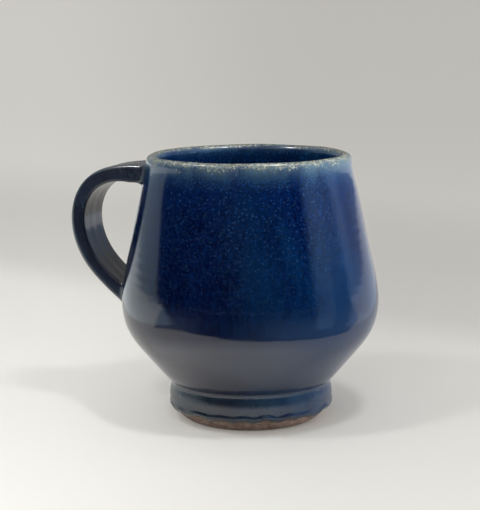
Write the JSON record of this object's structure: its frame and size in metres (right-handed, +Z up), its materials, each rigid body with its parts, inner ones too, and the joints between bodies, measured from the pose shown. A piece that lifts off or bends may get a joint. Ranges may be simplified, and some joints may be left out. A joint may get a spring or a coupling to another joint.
{
  "type": "shaving mug",
  "caption": "Free-standing stoneware mug with a pot belly, narrow turned foot, rounded lip and a pulled strap handle, for lather or a warm drink.",
  "frame": {"origin": "centre of the foot on the plane it stands on, on the vessel's axis", "axes": "+Z up along the vessel's axis, -X along the handle's reach, Y across the handle"},
  "size_m": [0.1114, 0.0916, 0.095],
  "materials": {
    "bare_stoneware": "unglazed fired clay, matt and slightly gritty",
    "cobalt_glaze": "glossy deep blue glaze, breaking to pale tan at the lip",
    "lining_glaze": "glossy dark blue glaze",
    "handle_glaze": "glossy charcoal blue glaze, breaking paler on the edges"
  },
  "bodies": {
    "root": {"thrown_body": "bare_stoneware", "foot_ring": "bare_stoneware", "handle_strap": "bare_stoneware", "upper_handle_root": "bare_stoneware", "lower_handle_root": "bare_stoneware", "outer_glaze": "cobalt_glaze", "lining_glaze": "lining_glaze", "handle_glaze": "handle_glaze"}
  },
  "joints": []
}
